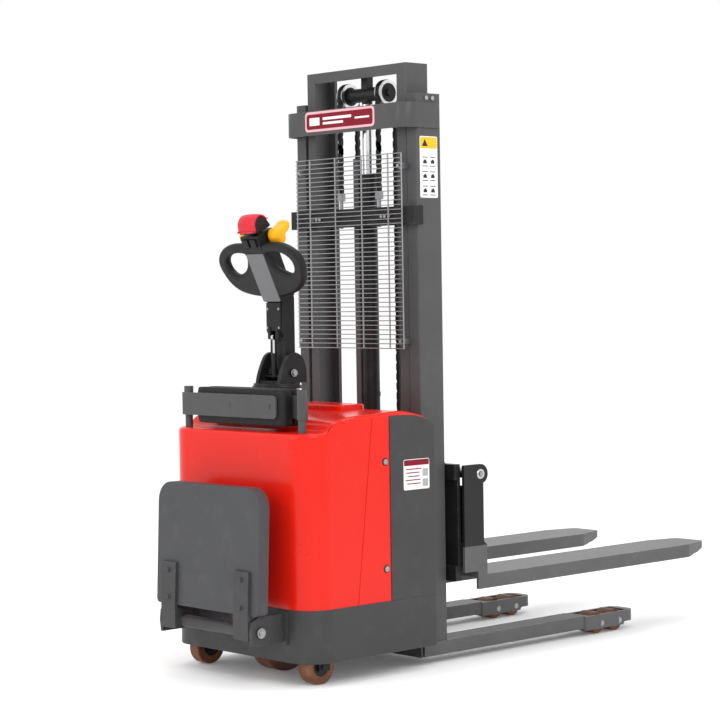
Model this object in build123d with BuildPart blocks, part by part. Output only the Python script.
from build123d import *
import os

os.makedirs("parts", exist_ok=True)

# ---------------------------------------------------------------------------
# Walkie stacker, duplex mast, straddle legs nested under the forks.
# +X towards the fork tips, +Y the truck's left, +Z up, Z = 0 the floor.
# Longitudinal stations below are measured from the mast datum, the rear face
# of the top crossbeam; MX carries the datum into the part frame.
# ---------------------------------------------------------------------------
MX = -419.5

# mast
MAST_TOP = 1830.0          # outer uprights
INNER_TOP = 1931.0         # inner uprights, raised about 100 mm
OUT_Y = 292.0              # outer face of the outer uprights
IN_Y = 240.0               # outer face of the inner uprights
OUT_X0, OUT_X1 = 54.0, 160.0
IN_X0, IN_X1 = 58.0, 158.0
CYL_X = 112.0              # lift cylinder, crosshead and chain pulleys
PULLEY_Z = 1848.0
CHAIN_Y = 92.0

# forks and carriage
FORK_TOP = 276.0
FORK_BOT = 230.0
FORK_OUT = 347.0
FORK_W = 192.0
FORK_TIP = 1454.0
SHAFT_X, SHAFT_Z, SHAFT_R = 268.0, 604.0, 17.5

# legs and load rollers
LEG_Y0, LEG_Y1 = 200.0, 295.0
LEG_Z0, LEG_Z1 = 27.0, 71.0
ROLLER_X = (905.7, 998.7)
ROLLER_R, ROLLER_W = 37.0, 70.0
LEG_YC = 247.5

# body
SKIRT_Y = 348.0
SKIRT_X = -477.0
SKIRT_Z0, SKIRT_Z1 = 73.0, 236.0
PANEL_X0, PANEL_X1 = -135.0, 57.0
HOOD_Y = 345.0
HOOD_X = -474.0
DECK_Z = 150.0
WALL = 6.0

# drive, casters, platform, tiller
STEER_X = -298.0
DRIVE_R, DRIVE_W = 105.0, 70.0
CASTER_X, CASTER_Y, CASTER_R, CASTER_TRAIL = -372.0, 270.0, 55.0, 14.0
PLAT_X, PLAT_Z = -572.0, 174.0
POST_X, POST_Y = -435.0, 279.0
TILT_X, TILT_Z = -281.0, 947.0
HEAD_X, HEAD_Z = -291.0, 1177.0


def X(v):
    return v + MX


def bx(x0, x1, y0, y1, z0, z1, mode=Mode.ADD):
    """Box between two corners, stations in X."""
    with Locations((X((x0 + x1) / 2), (y0 + y1) / 2, (z0 + z1) / 2)):
        Box(x1 - x0, y1 - y0, z1 - z0, mode=mode)


ROT = {"x": (0, 90, 0), "y": (90, 0, 0), "z": (0, 0, 0)}


def cy(axis, x, y, z, r, length, mode=Mode.ADD):
    """Cylinder centred on a point."""
    with Locations((X(x), y, z)):
        Cylinder(r, length, rotation=ROT[axis], mode=mode)


def xz(y):
    """Sketch plane facing -Y at a given y: sketch (x, y) is (X, Z)."""
    return Plane(origin=(MX, y, 0), x_dir=(1, 0, 0), z_dir=(0, -1, 0))


def xy(z):
    """Horizontal sketch plane whose x is measured from the mast datum."""
    return Plane(origin=(MX, 0, z), x_dir=(1, 0, 0), z_dir=(0, 0, 1))


HEAD_N = (0.90546, 0.0, 0.42443)    # out of the head's front face
HEAD_S = (-0.42443, 0.0, 0.90546)   # up along the head
# head side plane: sketch (x, y) is (depth, height along the head)
HEAD_SIDE = Plane(origin=(X(HEAD_X), 0, HEAD_Z), x_dir=HEAD_N, z_dir=(0, -1, 0))
# head face plane: sketch (x, y) is (Y, height along the head)
HEAD_FACE = Plane(origin=(X(HEAD_X), 0, HEAD_Z), x_dir=(0, 1, 0), z_dir=HEAD_N)


# ---------------------------------------------------------------------------
# Chassis shell
# ---------------------------------------------------------------------------
with BuildPart() as chassis_skirt:
    with BuildSketch(xy(SKIRT_Z0)) as sk:
        with Locations(((SKIRT_X + PANEL_X1) / 2, 0)):
            Rectangle(PANEL_X1 - SKIRT_X, 2 * SKIRT_Y)
        fillet(sk.vertices().group_by(Axis.X)[0], 95)
    extrude(amount=SKIRT_Z1 - SKIRT_Z0)
    with BuildSketch(xy(SKIRT_Z0)) as sk:
        with Locations(((SKIRT_X + WALL + PANEL_X1 + 40) / 2, 0)):
            Rectangle(PANEL_X1 + 40 - SKIRT_X - WALL, 2 * (SKIRT_Y - WALL))
        fillet(sk.vertices().group_by(Axis.X)[0], 89)
    extrude(amount=SKIRT_Z1 - SKIRT_Z0, mode=Mode.SUBTRACT)
chassis_skirt.part.label = "chassis_skirt"
export_step(chassis_skirt.part, "parts/chassis_skirt.step")

PANEL_TOP = [(PANEL_X1, 776), (30, 793), (0, 804), (-35, 810), (-75, 812.5), (PANEL_X0, 812)]

with BuildPart() as side_panel_right:
    with BuildSketch(xz(-(SKIRT_Y - WALL))):
        with BuildLine():
            Polyline((PANEL_X0, 812), (PANEL_X0, SKIRT_Z1), (PANEL_X1, SKIRT_Z1), (PANEL_X1, 776))
            Spline(*PANEL_TOP)
        make_face()
    extrude(amount=WALL)
side_panel_right.part.label = "side_panel_right"
export_step(side_panel_right.part, "parts/side_panel_right.step")

with BuildPart() as side_panel_left:
    with BuildSketch(xz(SKIRT_Y)):
        with BuildLine():
            Polyline((PANEL_X0, 812), (PANEL_X0, SKIRT_Z1), (PANEL_X1, SKIRT_Z1), (PANEL_X1, 776))
            Spline(*PANEL_TOP)
        make_face()
    extrude(amount=WALL)
side_panel_left.part.label = "side_panel_left"
export_step(side_panel_left.part, "parts/side_panel_left.step")

# flat deck that carries the battery, pump and casters, with the drive well
with BuildPart() as base_deck:
    with BuildSketch(xy(DECK_Z)) as sk:
        with Locations(((SKIRT_X + WALL + 46) / 2, 0)):
            Rectangle(46 - SKIRT_X - WALL, 2 * (SKIRT_Y - WALL))
        fillet(sk.vertices().group_by(Axis.X)[0], 89)
        with Locations((STEER_X, 0)):
            Circle(128, mode=Mode.SUBTRACT)
    extrude(amount=8)
    # turntable housing around the drive well
    with BuildSketch(xy(DECK_Z + 8)):
        with Locations((STEER_X, 0)):
            Circle(140)
            Circle(126, mode=Mode.SUBTRACT)
    extrude(amount=57.7)
    # bulkhead behind the mast, and the beam that ties the two legs together
    bx(38, 46, -LEG_Y1, LEG_Y1, LEG_Z0, DECK_Z + 8)
    bx(38, 46, -341.5, 341.5, DECK_Z, 700)
    bx(38, 46, -334, 334, 700, 764)
    bx(46, 160, -LEG_Y0, LEG_Y0, LEG_Z0, 66)
    cy("z", CYL_X, 0, 76, 34, 20)
base_deck.part.label = "base_deck"
export_step(base_deck.part, "parts/base_deck.step")

# ---------------------------------------------------------------------------
# Hood: rounded plan, stepped top, thin wall, open underneath
# ---------------------------------------------------------------------------
HOOD_TOP = [(-470, 771), (-402, 774), (-345, 812), (-250, 820), (-120, 825), (-60, 824), (0, 812), (48, 790)]


def hood_body(inset, rim):
    """Closed form of the hood, inset by a wall thickness."""
    with BuildPart() as b:
        with BuildSketch(xy(SKIRT_Z1)) as s:
            with Locations(((HOOD_X + inset + 50) / 2, 0)):
                Rectangle(50 - HOOD_X - inset, 2 * (HOOD_Y - inset))
            fillet(s.vertices().group_by(Axis.X)[0], 92 - inset)
        extrude(amount=640)
        with BuildSketch(xz(400)) as s:
            with BuildLine():
                Polyline((50, 789 - inset), (50, 200), (-500, 200), (-500, 771 - inset), (-402, 774 - inset))
                Spline((-402, 774 - inset), (-372, 795 - inset), (-335, 811 - inset), (-250, 820 - inset),
                       (-120, 825 - inset), (-60, 824 - inset), (0, 811 - inset), (50, 789 - inset),
                       tangents=[(1, 0.05), (1, -0.5)])
            make_face()
        extrude(amount=800, mode=Mode.INTERSECT)
        if rim:
            top = b.edges().filter_by(lambda e: e.center().Z > 765 and (abs(abs(e.center().Y) - HOOD_Y) < 60
                                      or e.center().X < X(HOOD_X) + 60) and not e.geom_type == GeomType.LINE
                                      or (e.center().Z > 765 and e.center().X < X(HOOD_X) + 5)
                                      or (e.center().Z > 765 and abs(abs(e.center().Y) - HOOD_Y) < 1
                                      and e.geom_type == GeomType.LINE and abs((e @ 0).X - (e @ 1).X) > 5))
            fillet(top, rim)
    return b


hood_inner = hood_body(4, 0)
with BuildPart() as hood:
    add(hood_body(0, 14).part)
    add(hood_inner.part, mode=Mode.SUBTRACT)
    # steering column, guard posts, stop button and key switch holes
    cy("z", STEER_X, 0, 800, 38, 200, Mode.SUBTRACT)
    cy("z", POST_X, POST_Y, 780, 12.5, 100, Mode.SUBTRACT)
    cy("z", POST_X, -POST_Y, 780, 12.5, 100, Mode.SUBTRACT)
    cy("z", -235, 120, 820, 10.6, 60, Mode.SUBTRACT)
    cy("z", -235, 180, 820, 8.6, 60, Mode.SUBTRACT)
    # the side panels close the sides; the hood only laps over their tops
    for y0 in (370, -340):
        with BuildSketch(xz(y0)):
            with BuildLine():
                Polyline((PANEL_X0 - 0.6, 812.6), (PANEL_X0 - 0.6, 200), (PANEL_X1 + 9, 200), (PANEL_X1 + 9, 771))
                Line((PANEL_X1 + 9, 771), (PANEL_X1, 776.6))
                Spline(*[(a, b + 0.6) for a, b in PANEL_TOP])
                Line((PANEL_X0, 812.6), (PANEL_X0 - 0.6, 812.6))
            make_face()
        extrude(amount=30, mode=Mode.SUBTRACT)
    # raised cowl on the top
    with BuildSketch(xy(819)):
        with Locations((-97, 0)):
            RectangleRounded(116, 292, 34)
    extrude(amount=22)
    fillet(hood.faces().sort_by(Axis.Z)[-1].edges(), 7)
    # crease line down each side
    for s in (1, -1):
        with BuildSketch(xz(s * HOOD_Y + 1.5)):
            with BuildLine():
                Polyline((-208, 815), (-205, 815), (-274, 236), (-277, 236), close=True)
            make_face()
        extrude(amount=3, mode=Mode.SUBTRACT)
hood.part.label = "hood"
export_step(hood.part, "parts/hood.step")

# ---------------------------------------------------------------------------
# Mast, outer frame
# ---------------------------------------------------------------------------


def channel(x0, x1, y_out, flange, web, lip, z0, z1, s):
    """C-section upright, web outboard, opening inboard."""
    yi = y_out - flange
    with BuildPart() as p:
        with BuildSketch(xy(z0)):
            pts = [(x0, yi), (x0, y_out), (x1, y_out), (x1, yi), (x1 - lip, yi),
                   (x1 - lip, y_out - web), (x0 + lip, y_out - web), (x0 + lip, yi)]
            with BuildLine():
                Polyline(*[(a, s * b) for a, b in pts], close=True)
            make_face()
        extrude(amount=z1 - z0)
        out = p.edges().filter_by(Axis.Z).filter_by(lambda e: abs(abs(e.center().Y) - y_out) < 0.1)
        fillet(out, 5)
    return p


outer_mast_left = channel(OUT_X0, OUT_X1, OUT_Y, 46, 10, 12, LEG_Z1, MAST_TOP, 1)
outer_mast_left.part.label = "outer_mast_left"
export_step(outer_mast_left.part, "parts/outer_mast_left.step")

outer_mast_right = channel(OUT_X0, OUT_X1, OUT_Y, 46, 10, 12, LEG_Z1, MAST_TOP, -1)
outer_mast_right.part.label = "outer_mast_right"
export_step(outer_mast_right.part, "parts/outer_mast_right.step")

with BuildPart() as mast_top_beam:
    with BuildSketch(xy(1720)) as sk:
        with Locations((75, 0)):
            Rectangle(150, 598)
        fillet(sk.vertices().group_by(Axis.X)[0], 46)
    extrude(amount=80)
    with BuildSketch(xy(1720)) as sk:
        with Locations((108, 0)):
            Rectangle(200, 2 * OUT_Y)
        fillet(sk.vertices().group_by(Axis.X)[0], 39)
    extrude(amount=80, mode=Mode.SUBTRACT)
mast_top_beam.part.label = "mast_top_beam"
export_step(mast_top_beam.part, "parts/mast_top_beam.step")

with BuildPart() as mast_mid_beam:
    bx(30, 54, -OUT_Y, OUT_Y, 1412, 1472)
    bx(30, 72, OUT_Y, 299, 1412, 1472)
    bx(30, 72, -299, -OUT_Y, 1412, 1472)
    for s in (1, -1):
        bx(54, 88, s * CHAIN_Y - 16, s * CHAIN_Y + 16, 1430, 1464)
        cy("z", 74, s * CHAIN_Y, 1447, 6.2, 60, Mode.SUBTRACT)
    # saddle that steadies the lift cylinder
    bx(54, 86, -24, 24, 1425, 1460)
    cy("z", CYL_X, 0, 1442, 28.0, 60, Mode.SUBTRACT)
mast_mid_beam.part.label = "mast_mid_beam"
export_step(mast_mid_beam.part, "parts/mast_mid_beam.step")

with BuildPart() as lift_cylinder:
    cy("z", CYL_X, 0, (86 + 1560) / 2, 28, 1560 - 86)
    cy("z", CYL_X, 0, 1572, 31, 30)
    cy("z", CYL_X, 0, (110 + 1556) / 2, 22, 1556 - 110, Mode.SUBTRACT)
    cy("z", CYL_X, 0, 1570, 17.56, 60, Mode.SUBTRACT)
    cy("z", CYL_X, 0, 862, 30, 14)
    cy("z", CYL_X, 0, 862, 22, 20, Mode.SUBTRACT)
lift_cylinder.part.label = "lift_cylinder"
export_step(lift_cylinder.part, "parts/lift_cylinder.step")

with BuildPart() as lift_chains_rear:
    for s in (1, -1):
        bx(68, 80, s * CHAIN_Y - 8, s * CHAIN_Y + 8, 1526, PULLEY_Z)
lift_chains_rear.part.label = "lift_chains_rear"
export_step(lift_chains_rear.part, "parts/lift_chains_rear.step")

# welded wire guard: six uprights and a ladder of cross wires
GUARD_X, GUARD_Z0, GUARD_Z1 = 21.0, 1015.0, 1642.0
with BuildPart() as wire_guard:
    for y in (-254, -190, -64, 64, 190, 254):
        cy("z", GUARD_X, y, (GUARD_Z0 + GUARD_Z1) / 2, 2.5, GUARD_Z1 - GUARD_Z0)
    n = 42
    for i in range(n + 1):
        z = GUARD_Z0 + 2 + (GUARD_Z1 - GUARD_Z0 - 4) * i / n
        cy("y", GUARD_X - 3.6, 0, z, 1.5, 512)
wire_guard.part.label = "wire_guard"
export_step(wire_guard.part, "parts/wire_guard.step")

# ---------------------------------------------------------------------------
# Straddle legs with their tandem-roller ends
# ---------------------------------------------------------------------------


def leg(s):
    with BuildPart() as p:
        bx(54, 824, min(s * LEG_Y0, s * LEG_Y1), max(s * LEG_Y0, s * LEG_Y1), LEG_Z0, LEG_Z1)
        bx(40, 812, min(s * (LEG_Y0 + 6), s * (LEG_Y1 - 6)), max(s * (LEG_Y0 + 6), s * (LEG_Y1 - 6)),
           LEG_Z0 + 6, LEG_Z1 - 6, Mode.SUBTRACT)
        with BuildSketch(xy(20)) as k:
            with Locations((950, s * LEG_YC)):
                Rectangle(264, 107)
            fillet(k.vertices().group_by(Axis.X)[-1], 34)
            fillet(k.vertices().group_by(Axis.X)[0], 8)
        extrude(amount=48)
        # roller well, open above and below
        bx(852, 1052, min(s * 206, s * 289), max(s * 206, s * 289), 0, 90, Mode.SUBTRACT)
        # scalloped lower edge of the cheeks
        for xr in ROLLER_X:
            cy("y", xr, s * LEG_YC, ROLLER_R, 10.05, 200, Mode.SUBTRACT)
        bx(1030, 1090, min(s * 180, s * 320), max(s * 180, s * 320), 0, 30, Mode.SUBTRACT)
        cy("y", 1030, s * LEG_YC, 20, 10, 200, Mode.SUBTRACT)
    return p


leg_left = leg(1)
leg_left.part.label = "leg_left"
export_step(leg_left.part, "parts/leg_left.step")
leg_right = leg(-1)
leg_right.part.label = "leg_right"
export_step(leg_right.part, "parts/leg_right.step")

def load_roller(s, xr):
    with BuildPart() as p:
        cy("y", xr, s * LEG_YC, ROLLER_R, ROLLER_R, ROLLER_W)
        chamfer(p.edges().filter_by(GeomType.CIRCLE), 3)
        cy("y", xr, s * LEG_YC, ROLLER_R, 18, ROLLER_W + 8)
        cy("y", xr, s * LEG_YC, ROLLER_R, 10.05, ROLLER_W + 20, Mode.SUBTRACT)
    return p


load_roller_left_rear = load_roller(1, ROLLER_X[0])
load_roller_left_rear.part.label = "load_roller_left_rear"
export_step(load_roller_left_rear.part, "parts/load_roller_left_rear.step")
load_roller_left_front = load_roller(1, ROLLER_X[1])
load_roller_left_front.part.label = "load_roller_left_front"
export_step(load_roller_left_front.part, "parts/load_roller_left_front.step")
load_roller_right_rear = load_roller(-1, ROLLER_X[0])
load_roller_right_rear.part.label = "load_roller_right_rear"
export_step(load_roller_right_rear.part, "parts/load_roller_right_rear.step")
load_roller_right_front = load_roller(-1, ROLLER_X[1])
load_roller_right_front.part.label = "load_roller_right_front"
export_step(load_roller_right_front.part, "parts/load_roller_right_front.step")

# ---------------------------------------------------------------------------
# Mast, inner frame
# ---------------------------------------------------------------------------
inner_mast_left = channel(IN_X0, IN_X1, IN_Y, 42, 10, 12, 168, INNER_TOP, 1)
inner_mast_left.part.label = "inner_mast_left"
export_step(inner_mast_left.part, "parts/inner_mast_left.step")
inner_mast_right = channel(IN_X0, IN_X1, IN_Y, 42, 10, 12, 168, INNER_TOP, -1)
inner_mast_right.part.label = "inner_mast_right"
export_step(inner_mast_right.part, "parts/inner_mast_right.step")

with BuildPart() as inner_crossbars:
    bx(IN_X0, IN_X0 + 8, -198, 198, 1897, INNER_TOP)
    bx(IN_X0 + 8, 130, -198, 198, 1921, INNER_TOP)
    bx(IN_X0, IN_X0 + 8, -198, 198, 180, 230)
inner_crossbars.part.label = "inner_crossbars"
export_step(inner_crossbars.part, "parts/inner_crossbars.step")

with BuildPart() as chain_pulleys:
    for s in (1, -1):
        cy("y", CYL_X, s * CHAIN_Y, PULLEY_Z, 42, 24)
        with BuildSketch(xz(s * CHAIN_Y + 9)):
            with Locations((CYL_X, PULLEY_Z)):
                Circle(50)
                Circle(31, mode=Mode.SUBTRACT)
        extrude(amount=18, mode=Mode.SUBTRACT)
        cy("y", CYL_X, s * CHAIN_Y, PULLEY_Z, 12.05, 60, Mode.SUBTRACT)
chain_pulleys.part.label = "chain_pulleys"
export_step(chain_pulleys.part, "parts/chain_pulleys.step")

with BuildPart() as piston_rod:
    cy("z", CYL_X, 0, (400 + 1840) / 2, 17.5, 1840 - 400)
    cy("z", CYL_X, 0, 420, 21.9, 40)
    # crosshead with the pulley axle, and the post that lifts the inner frame
    cy("y", CYL_X, 0, PULLEY_Z, 23, 150)
    cy("y", CYL_X, 0, PULLEY_Z, 12, 226)
    bx(98, 126, -14, 14, PULLEY_Z, 1921)
piston_rod.part.label = "piston_rod"
export_step(piston_rod.part, "parts/piston_rod.step")

with BuildPart() as lift_chains_front:
    for s in (1, -1):
        bx(144, 156, s * CHAIN_Y - 8, s * CHAIN_Y + 8, 632, PULLEY_Z)
        with BuildSketch(xz(s * CHAIN_Y + 8)):
            with Locations((CYL_X, PULLEY_Z)):
                Circle(44)
                Circle(32, mode=Mode.SUBTRACT)
                with Locations((0, -30)):
                    Rectangle(120, 60, mode=Mode.SUBTRACT)
        extrude(amount=16)
lift_chains_front.part.label = "lift_chains_front"
export_step(lift_chains_front.part, "parts/lift_chains_front.step")

# ---------------------------------------------------------------------------
# Fork carriage
# ---------------------------------------------------------------------------
with BuildPart() as carriage_frame:
    bx(177, 189.5, -330, 330, 262, 640)
    bx(164, 189.5, -330, 330, 590, 640)
    bx(164, 189.5, -330, 330, 262, 312)
    for s in (1, -1):
        bx(70, 189.5, min(s * 172, s * 184), max(s * 172, s * 184), 262, 640)
        bx(140, 170, s * CHAIN_Y - 12, s * CHAIN_Y + 12, 600, 632)
        with BuildSketch(xz(s * 34 + 8)):
            with BuildLine():
                Polyline((185, 500), (185, 640), (262, 640), (298, 618), (298, 590), (262, 575), (200, 500), close=True)
            make_face()
        extrude(amount=16)
        cy("y", SHAFT_X, s * 34, SHAFT_Z, SHAFT_R + 0.05, 40, Mode.SUBTRACT)
carriage_frame.part.label = "carriage_frame"
export_step(carriage_frame.part, "parts/carriage_frame.step")

# guide rollers: a coaxial pair above and a coaxial pair below
GUIDE_X, GUIDE_R = 108.0, 37.6
with BuildPart() as guide_rollers_upper:
    for s in (1, -1):
        cy("y", GUIDE_X, s * 213, 582, GUIDE_R, 26)
        cy("y", GUIDE_X, s * 192, 582, 10, 16)
        cy("y", GUIDE_X, s * 228, 582, 10, 8, Mode.SUBTRACT)
    chamfer(guide_rollers_upper.edges().filter_by(GeomType.CIRCLE).filter_by(lambda e: e.radius > 30), 2)
guide_rollers_upper.part.label = "guide_rollers_upper"
export_step(guide_rollers_upper.part, "parts/guide_rollers_upper.step")

with BuildPart() as guide_rollers_lower:
    for s in (1, -1):
        cy("y", GUIDE_X, s * 213, 320, GUIDE_R, 26)
        cy("y", GUIDE_X, s * 192, 320, 10, 16)
        cy("y", GUIDE_X, s * 228, 320, 10, 8, Mode.SUBTRACT)
    chamfer(guide_rollers_lower.edges().filter_by(GeomType.CIRCLE).filter_by(lambda e: e.radius > 30), 2)
guide_rollers_lower.part.label = "guide_rollers_lower"
export_step(guide_rollers_lower.part, "parts/guide_rollers_lower.step")

with BuildPart() as fork_shaft:
    cy("y", SHAFT_X, 0, SHAFT_Z, SHAFT_R, 2 * 347.5)
    chamfer(fork_shaft.edges().filter_by(GeomType.CIRCLE), 2)
fork_shaft.part.label = "fork_shaft"
export_step(fork_shaft.part, "parts/fork_shaft.step")

T = 10.0  # fork side plates


def fork(s):
    """Fabricated fork: hanger plates with eyes, heel box and inverted-channel blade."""
    y_out, y_in = s * FORK_OUT, s * (FORK_OUT - FORK_W)
    with BuildPart() as p:
        for y0 in (FORK_OUT, FORK_OUT - FORK_W + T):
            with BuildSketch(xz(s * y0 if s > 0 else s * (y0 - T))):
                with BuildLine():
                    Polyline((190, 289), (190, 636), (268, 636), (279, 600), (279, 384), (293, 372), (293, FORK_TOP),
                             (FORK_TIP, FORK_TOP), (FORK_TIP, 254), (1400, 240), (1325, FORK_BOT), (251, FORK_BOT),
                             (251, 289), close=True)
                make_face()
                with Locations((SHAFT_X, SHAFT_Z)):
                    Circle(32)
            extrude(amount=T)
        # front plate of the hanger, heel plate and blade top
        bx(267, 279, min(y_out, y_in), max(y_out, y_in), FORK_TOP - 8, 560)
        bx(251, 293, min(y_out, y_in), max(y_out, y_in), FORK_TOP - 8, FORK_TOP + 20)
        bx(251, FORK_TIP, min(y_out, y_in), max(y_out, y_in), FORK_TOP - 8, FORK_TOP)
        # solid nose that tapers up to the tip
        with BuildSketch(xz(s * (FORK_OUT if s > 0 else FORK_OUT - FORK_W))):
            with BuildLine():
                Polyline((1325, FORK_TOP - 4), (1325, FORK_BOT + 4), (1400, 240), (FORK_TIP, 254), (FORK_TIP, FORK_TOP - 4), close=True)
            make_face()
        extrude(amount=FORK_W)
        # tip narrows in plan
        for e in (FORK_OUT, FORK_OUT - FORK_W):
            o = 1 if e == FORK_OUT else -1
            with BuildSketch(xy(200)):
                with BuildLine():
                    Polyline((1330, s * e), (1455, s * (e - o * 34)), (1475, s * (e + o * 20)), (1330, s * (e + o * 20)), close=True)
                make_face()
            extrude(amount=120, mode=Mode.SUBTRACT)
        cy("y", SHAFT_X, s * (FORK_OUT - FORK_W / 2), SHAFT_Z, SHAFT_R + 0.05, 240, Mode.SUBTRACT)
        tip = p.edges().filter_by(Axis.Z).filter_by(lambda e: abs(e.center().X - X(FORK_TIP)) < 2)
        fillet(tip, 22)
    return p


fork_left = fork(1)
fork_left.part.label = "fork_left"
export_step(fork_left.part, "parts/fork_left.step")
fork_right = fork(-1)
fork_right.part.label = "fork_right"
export_step(fork_right.part, "parts/fork_right.step")

# ---------------------------------------------------------------------------
# Inside the hood
# ---------------------------------------------------------------------------
with BuildPart() as battery:
    bx(-150, 34, -270, 270, DECK_Z + 8, 560)
    fillet(battery.edges().filter_by(Axis.Z), 8)
    for y in (-180, -60, 60, 180):
        cy("z", -105, y, 566, 16, 12)
        cy("z", -15, y, 566, 16, 12)
battery.part.label = "battery"
export_step(battery.part, "parts/battery.step")

with BuildPart() as pump_unit:
    cy("z", -330, 210, 280, 52, 228)
    bx(-392, -268, 146, 274, 394, 540)
    cy("z", -300, 180, 552, 14, 24)
    bx(-366, -294, 190, 230, DECK_Z + 8, 170)
pump_unit.part.label = "pump_unit"
export_step(pump_unit.part, "parts/pump_unit.step")

# ---------------------------------------------------------------------------
# Drive unit and steering column (turns about the vertical steer axis)
# ---------------------------------------------------------------------------
with BuildPart() as drive_unit:
    # turntable, gear leg beside the wheel with its stub axle, and the motor on top
    cy("z", STEER_X, 0, 222, 138, 12)
    cy("z", STEER_X, 0, 264, 92, 72)
    bx(STEER_X - 48, STEER_X + 48, 40, 74, 100, 220)
    cy("y", STEER_X, 57, 105, 48, 34)
    cy("y", STEER_X, 20, 105, 14, 60)
    cy("z", STEER_X, 0, 395, 74, 194)
    fillet(drive_unit.edges().filter_by(GeomType.CIRCLE).sort_by(Axis.Z)[-1], 8)
drive_unit.part.label = "drive_unit"
export_step(drive_unit.part, "parts/drive_unit.step")

with BuildPart() as steering_column:
    cy("z", STEER_X, 0, (492 + 897) / 2, 35, 897 - 492)
    cy("z", STEER_X, 0, 902, 78, 10)
    cy("z", STEER_X, 0, 911, 74, 8)
steering_column.part.label = "steering_column"
export_step(steering_column.part, "parts/steering_column.step")

with BuildPart() as drive_wheel:
    cy("y", STEER_X, 0, DRIVE_R, DRIVE_R, DRIVE_W)
    fillet(drive_wheel.edges().filter_by(GeomType.CIRCLE), 6)
    for s in (1, -1):
        cy("y", STEER_X, s * 35, DRIVE_R, 70, 24, Mode.SUBTRACT)
    cy("y", STEER_X, 0, DRIVE_R, 34, 64)
    cy("y", STEER_X, 20, DRIVE_R, 14.05, 70, Mode.SUBTRACT)
drive_wheel.part.label = "drive_wheel"
export_step(drive_wheel.part, "parts/drive_wheel.step")

# yoke: two cheeks, a front wall and the tilt pin
with BuildPart() as tiller_yoke:
    for y0 in (60, -46):
        with BuildSketch(xz(y0)):
            with BuildLine():
                Polyline((-336, 915), (-224, 915), (-224, 957))
                Spline((-224, 957), (-230, 978), (-244, 1000), (-262, 1010), (-284, 1011))
                Spline((-284, 1011), (-300, 1001), (-316, 974), (-330, 940), (-336, 915))
            make_face()
        extrude(amount=14)
    bx(-238, -224, -60, 60, 915, 956)
    bx(-330, -224, -60, 60, 915, 922)
    cy("y", TILT_X, 0, TILT_Z, 8, 128)
    cy("y", -307, 0, 936, 3, 100)
tiller_yoke.part.label = "tiller_yoke"
export_step(tiller_yoke.part, "parts/tiller_yoke.step")

with BuildPart() as gas_spring_tube:
    cy("y", -307, 0, 936, 7, 12)
    cy("z", -307, 0, 975, 8, 68)
    cy("y", -307, 0, 936, 3.05, 20, Mode.SUBTRACT)
    cy("z", -307, 0, 985, 4.05, 60, Mode.SUBTRACT)
gas_spring_tube.part.label = "gas_spring_tube"
export_step(gas_spring_tube.part, "parts/gas_spring_tube.step")

with BuildPart() as gas_spring_rod:
    cy("z", -307, 0, (992 + 1053) / 2, 4, 1053 - 992)
    cy("y", -307, 0, 1060, 9, 10)
gas_spring_rod.part.label = "gas_spring_rod"
export_step(gas_spring_rod.part, "parts/gas_spring_rod.step")

# ---------------------------------------------------------------------------
# Tiller arm and head
# ---------------------------------------------------------------------------
with BuildPart() as tiller_arm:
    with BuildSketch(xz(37)):
        with BuildLine():
            Polyline((-301.87, 1171.9), (-252.97, 1194.83), (-250, 1184), (-250, 950), (-262, 930), (-281, 924),
                     (-297, 930), (-303.5, 943), (-301, 959), (-292, 968), (-291, 1052), (-305, 1078), close=True)
        make_face()
    extrude(amount=74)
    # slot for the gas spring
    bx(-340, -289.2, -12, 12, 900, 1092, Mode.SUBTRACT)
    cy("y", TILT_X, 0, TILT_Z, 8.05, 200, Mode.SUBTRACT)
    bx(-311, -296, 12, 25, 1054, 1092)
    bx(-311, -296, -25, -12, 1054, 1092)
tiller_arm.part.label = "tiller_arm"
export_step(tiller_arm.part, "parts/tiller_arm.step")

with BuildPart() as tiller_head:
    with BuildSketch(HEAD_SIDE.offset(-42)):
        with BuildLine():
            Polyline((-12, 0), (-18, 8), (-18, 172), (-20, 184), (-17, 229), (52, 229), (56, 206), (46, 160), (42, 0), close=True)
        make_face()
    extrude(amount=84)
    # lift and lower button pockets, belly button bore, throttle shaft bore
    for y in (-18, 18):
        with BuildSketch(HEAD_FACE.offset(-21)):
            with Locations((y, 208)):
                Rectangle(24.8, 26.8)
        extrude(amount=10, mode=Mode.SUBTRACT)
    with BuildSketch(Plane(origin=(X(HEAD_X), 0, HEAD_Z), x_dir=HEAD_N, z_dir=HEAD_S).offset(180)):
        with Locations((10, 0)):
            Circle(10.05)
    extrude(amount=60, mode=Mode.SUBTRACT)
    with BuildSketch(HEAD_SIDE.offset(-60)):
        with Locations((34, 205)):
            Circle(5.05)
    extrude(amount=120, mode=Mode.SUBTRACT)
tiller_head.part.label = "tiller_head"
export_step(tiller_head.part, "parts/tiller_head.step")

LOOP = [(42, 200), (96, 203), (145, 194), (177, 176), (197, 151), (201, 128), (195, 102), (181, 73), (156, 48), (114, 30), (42, 18)]
HOLE = [(56, 168), (98, 172), (138, 160), (158, 138), (156, 114), (134, 96), (96, 104), (62, 132)]


def grip(s):
    """Closed loop handle: tube over the top and outside, web below the finger hole."""
    with BuildPart() as p:
        with BuildSketch(HEAD_FACE.offset(-19)):
            with BuildLine():
                Spline(*[(s * a, b) for a, b in LOOP])
                Line((s * 42, 18), (s * 42, 200))
            make_face()
            with BuildLine():
                Spline(*[(s * a, b) for a, b in HOLE], periodic=True)
            make_face(mode=Mode.SUBTRACT)
        extrude(amount=28)
        fillet(p.edges().filter_by(lambda e: e.geom_type != GeomType.LINE), 12)
    return p


grip_left = grip(1)
grip_left.part.label = "grip_left"
export_step(grip_left.part, "parts/grip_left.step")
grip_right = grip(-1)
grip_right.part.label = "grip_right"
export_step(grip_right.part, "parts/grip_right.step")

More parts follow.
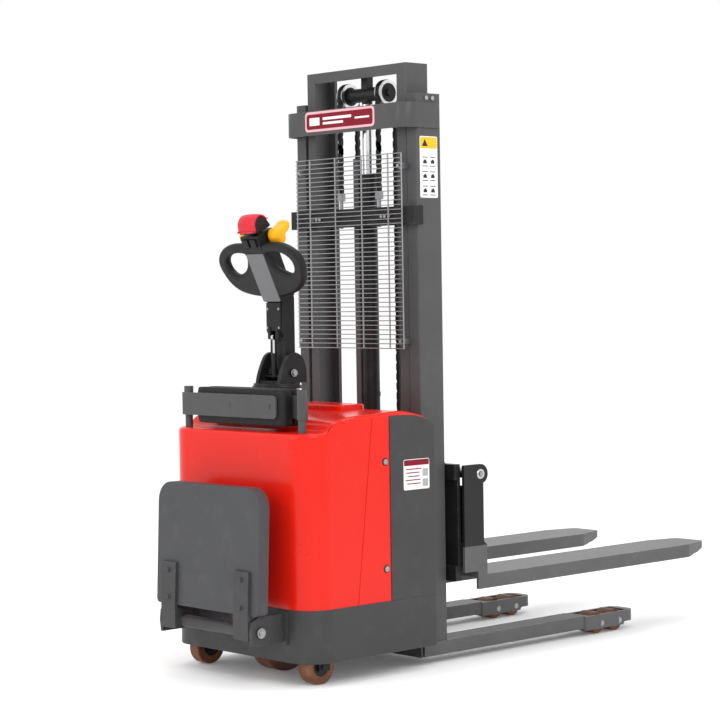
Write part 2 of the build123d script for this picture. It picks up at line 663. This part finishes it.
with BuildPart() as belly_button:
    with BuildSketch(HEAD_SIDE.offset(-41)):
        with BuildLine():
            Line((52, 236), (-19, 236))
            Spline((-19, 236), (-17, 262), (-2, 283), (20, 290), (41, 280), (51, 258), (52, 236))
        make_face()
    extrude(amount=82)
    fillet(belly_button.edges().filter_by(lambda e: abs(abs(e.center().Y) - 41) < 0.5
                                          and (e.center() - Vector(X(HEAD_X), 0, HEAD_Z)).dot(Vector(*HEAD_S)) > 240), 9)
    with BuildSketch(Plane(origin=(X(HEAD_X), 0, HEAD_Z), x_dir=HEAD_N, z_dir=HEAD_S).offset(192)):
        with Locations((10, 0)):
            Circle(10)
    extrude(amount=52)
belly_button.part.label = "belly_button"
export_step(belly_button.part, "parts/belly_button.step")

with BuildPart() as butterfly_throttle:
    with BuildSketch(HEAD_SIDE.offset(-70)):
        with Locations((34, 205)):
            Circle(5)
    extrude(amount=140)
    for y0 in (-95, 45):
        with BuildSketch(HEAD_SIDE.offset(y0)):
            with BuildLine():
                Polyline((14, 214), (22, 231), (44, 238), (68, 229), (84, 214), (80, 198), (62, 195), (48, 184), (32, 176), (18, 186), close=True)
            make_face()
        extrude(amount=50)
butterfly_throttle.part.label = "butterfly_throttle"
export_step(butterfly_throttle.part, "parts/butterfly_throttle.step")


def head_button(y):
    with BuildPart() as p:
        with BuildSketch(HEAD_FACE.offset(-25)):
            with Locations((y, 208)):
                Rectangle(24, 26)
        extrude(amount=10)
        fillet(p.edges().filter_by(Plane(origin=(0, 0, 0), x_dir=(0, 1, 0), z_dir=HEAD_N)).group_by(Axis.X)[0], 1)
    return p


lift_button = head_button(18)
lift_button.part.label = "lift_button"
export_step(lift_button.part, "parts/lift_button.step")
lower_button = head_button(-18)
lower_button.part.label = "lower_button"
export_step(lower_button.part, "parts/lower_button.step")

# ---------------------------------------------------------------------------
# Stabilising casters
# ---------------------------------------------------------------------------


def caster_fork(s):
    y = s * CASTER_Y
    with BuildPart() as p:
        cy("z", CASTER_X, y, 127, 36, 12)
        cy("z", CASTER_X, y, 141, 26, 17.4)
        for o in (1, -1):
            bx(CASTER_X - CASTER_TRAIL - 16, CASTER_X + 14, y + o * 29 - 3, y + o * 29 + 3, 42, 121)
        bx(CASTER_X - CASTER_TRAIL - 16, CASTER_X + 14, y - 32, y + 32, 115, 121)
        cy("y", CASTER_X - CASTER_TRAIL, y, CASTER_R, 7, 74)
    return p


def caster_wheel(s):
    y = s * CASTER_Y
    with BuildPart() as p:
        cy("y", CASTER_X - CASTER_TRAIL, y, CASTER_R, CASTER_R, 46)
        fillet(p.edges().filter_by(GeomType.CIRCLE), 5)
        cy("y", CASTER_X - CASTER_TRAIL, y, CASTER_R, 14, 50)
        cy("y", CASTER_X - CASTER_TRAIL, y, CASTER_R, 7.05, 80, Mode.SUBTRACT)
    return p


caster_fork_left = caster_fork(1)
caster_fork_left.part.label = "caster_fork_left"
export_step(caster_fork_left.part, "parts/caster_fork_left.step")
caster_fork_right = caster_fork(-1)
caster_fork_right.part.label = "caster_fork_right"
export_step(caster_fork_right.part, "parts/caster_fork_right.step")
caster_wheel_left = caster_wheel(1)
caster_wheel_left.part.label = "caster_wheel_left"
export_step(caster_wheel_left.part, "parts/caster_wheel_left.step")
caster_wheel_right = caster_wheel(-1)
caster_wheel_right.part.label = "caster_wheel_right"
export_step(caster_wheel_right.part, "parts/caster_wheel_right.step")

# ---------------------------------------------------------------------------
# Fold-down platform
# ---------------------------------------------------------------------------
with BuildPart() as platform_bracket:
    for s in (1, -1):
        with BuildSketch(xz(s * 222 + 5)):
            with BuildLine():
                Polyline((-477, 136), (-477, 222), (-580, 222), (-604, 206), (-608, 174), (-604, 136), close=True)
            make_face()
        extrude(amount=10)
        bx(-483, -477, min(s * 200, s * 246), max(s * 200, s * 246), 128, 230)
        cy("y", PLAT_X, s * 222, PLAT_Z, 8, 26)
        cy("y", PLAT_X, s * 231, PLAT_Z, 12, 8)
platform_bracket.part.label = "platform_bracket"
export_step(platform_bracket.part, "parts/platform_bracket.step")

with BuildPart() as platform_hinge:
    cy("y", PLAT_X, 0, PLAT_Z, 20, 2 * 215)
    for s in (1, -1):
        with BuildSketch(xz(s * 179.5 + 35.5)):
            with BuildLine():
                Polyline((-610, 152), (-600.3, 152), (-600.3, 226), (-594.4, 360), (-604.3, 360), (-610, 226), close=True)
            make_face()
        extrude(amount=71)
        for y in (148, 211):
            with BuildSketch(xz(s * y + 4)):
                with BuildLine():
                    Polyline((-601, 152), (-572, 152), (-556, 170), (-556, 188), (-572, 206), (-601, 218), close=True)
                make_face()
            extrude(amount=8)
        cy("y", PLAT_X, s * 212, PLAT_Z, 8.05, 20, Mode.SUBTRACT)
        # bolt heads that hold the straps to the board
        for z, x in ((250, -608), (335, -605)):
            cy("x", x, s * 179.5, z, 7, 14)
platform_hinge.part.label = "platform_hinge"
export_step(platform_hinge.part, "parts/platform_hinge.step")

with BuildPart() as platform_board:
    with BuildSketch(Plane(origin=(X(-640), 0, (226 + 611) / 2), x_dir=(0, 1, 0), z_dir=(1, 0, 0))) as bd:
        Rectangle(500, 385)
        fillet(bd.vertices().group_by(Axis.Y)[-1], 62)
        fillet(bd.vertices().group_by(Axis.Y)[0], 14)
    extrude(amount=140)
    with BuildSketch(xz(300)):
        with BuildLine():
            Polyline((-600, 226), (-560, 226), (-543, 611), (-583, 611), close=True)
        make_face()
    extrude(amount=600, mode=Mode.INTERSECT)
    for s in (1, -1):
        for z in (250, 335):
            cy("x", -611, s * 179.5, z, 7.2, 40, Mode.SUBTRACT)
platform_board.part.label = "platform_board"
export_step(platform_board.part, "parts/platform_board.step")

# ---------------------------------------------------------------------------
# Side guards on their posts, stored across the back
# ---------------------------------------------------------------------------
with BuildPart() as guard_posts:
    for s in (1, -1):
        cy("z", POST_X, s * POST_Y, (DECK_Z + 8 + 900) / 2, 11.5, 900 - DECK_Z - 8)
        cy("z", POST_X, s * POST_Y, (DECK_Z + 8 + 812) / 2, 12.3, 812 - DECK_Z - 8)
guard_posts.part.label = "guard_posts"
export_step(guard_posts.part, "parts/guard_posts.step")

with BuildPart() as guard_arm_left:
    cy("z", POST_X, POST_Y, 859, 15, 92)
    with BuildSketch(xz(POST_Y)):
        with BuildLine():
            Polyline((-458, 814), (-458, 886), (-452, 886), (-452, 814), close=True)
        make_face()
    extrude(amount=POST_Y + 182)
    fillet(guard_arm_left.edges().filter_by(Axis.X).filter_by(lambda e: e.center().Y < -170), 14)
    bx(-458, -435, POST_Y - 14, POST_Y + 5, 814, 886)
    cy("z", POST_X, POST_Y, 856, 11.55, 92, Mode.SUBTRACT)
    for y in (48, -148):
        cy("x", -459.5, y, 852, 7, 3)
guard_arm_left.part.label = "guard_arm_left"
export_step(guard_arm_left.part, "parts/guard_arm_left.step")

with BuildPart() as guard_pad_left:
    bx(-452, -418, -218, 216, 790, 905)
    fillet(guard_pad_left.edges().filter_by(Axis.X), 16)
    fillet(guard_pad_left.faces().sort_by(Axis.X)[-1].edges(), 12)
guard_pad_left.part.label = "guard_pad_left"
export_step(guard_pad_left.part, "parts/guard_pad_left.step")

with BuildPart() as guard_arm_right:
    cy("z", POST_X, -POST_Y, 859, 15, 92)
    bx(-414.5, -408.5, -POST_Y + 20, 182, 814, 886)
    fillet(guard_arm_right.edges().filter_by(Axis.X).filter_by(lambda e: e.center().Y > 170), 14)
    bx(-435, -408.5, -POST_Y + 2, -POST_Y + 22, 814, 886)
    cy("z", POST_X, -POST_Y, 856, 11.55, 92, Mode.SUBTRACT)
guard_arm_right.part.label = "guard_arm_right"
export_step(guard_arm_right.part, "parts/guard_arm_right.step")

with BuildPart() as guard_pad_right:
    bx(-408.5, -378, -216, 218, 790, 905)
    fillet(guard_pad_right.edges().filter_by(Axis.X), 16)
    fillet(guard_pad_right.faces().sort_by(Axis.X)[-1].edges(), 10)
guard_pad_right.part.label = "guard_pad_right"
export_step(guard_pad_right.part, "parts/guard_pad_right.step")

# ---------------------------------------------------------------------------
# Controls on the hood and the small fasteners
# ---------------------------------------------------------------------------
with BuildPart() as emergency_stop:
    cy("z", -235, 120, 815, 10, 40)
    cy("z", -235, 120, 839, 20, 12)
    fillet(emergency_stop.edges().filter_by(GeomType.CIRCLE).sort_by(Axis.Z)[-1], 4)
emergency_stop.part.label = "emergency_stop"
export_step(emergency_stop.part, "parts/emergency_stop.step")

# roller axles, hood screws, mast bolts, guard clips and chain anchor rods
with BuildPart() as fasteners:
    for s in (1, -1):
        for xr in ROLLER_X:
            cy("y", xr, s * LEG_YC, ROLLER_R, 10, 107)
            cy("y", xr, s * 302.5, ROLLER_R, 8, 3)
        for z in (337, 671):
            cy("y", -154, s * (HOOD_Y + 1.5), z, 9, 3)
        for x in (95, 122):
            cy("y", x, s * (OUT_Y + 2.5), 1815, 7, 5)
        for z in (1040, 1600):
            bx(24, 54, s * 246 - 8, s * 246 + 8, z - 9, z + 9)
            cy("x", 20, s * 241, z, 6, 8.2)
        cy("z", 74, s * CHAIN_Y, 1462, 6, 104)
        bx(66, 82, s * CHAIN_Y - 11, s * CHAIN_Y + 11, 1500, 1526)
        cy("z", 74, s * CHAIN_Y, 1425, 11, 10)
        cy("z", 74, s * CHAIN_Y, 1469, 11, 10)
fasteners.part.label = "fasteners"
export_step(fasteners.part, "parts/fasteners.step")
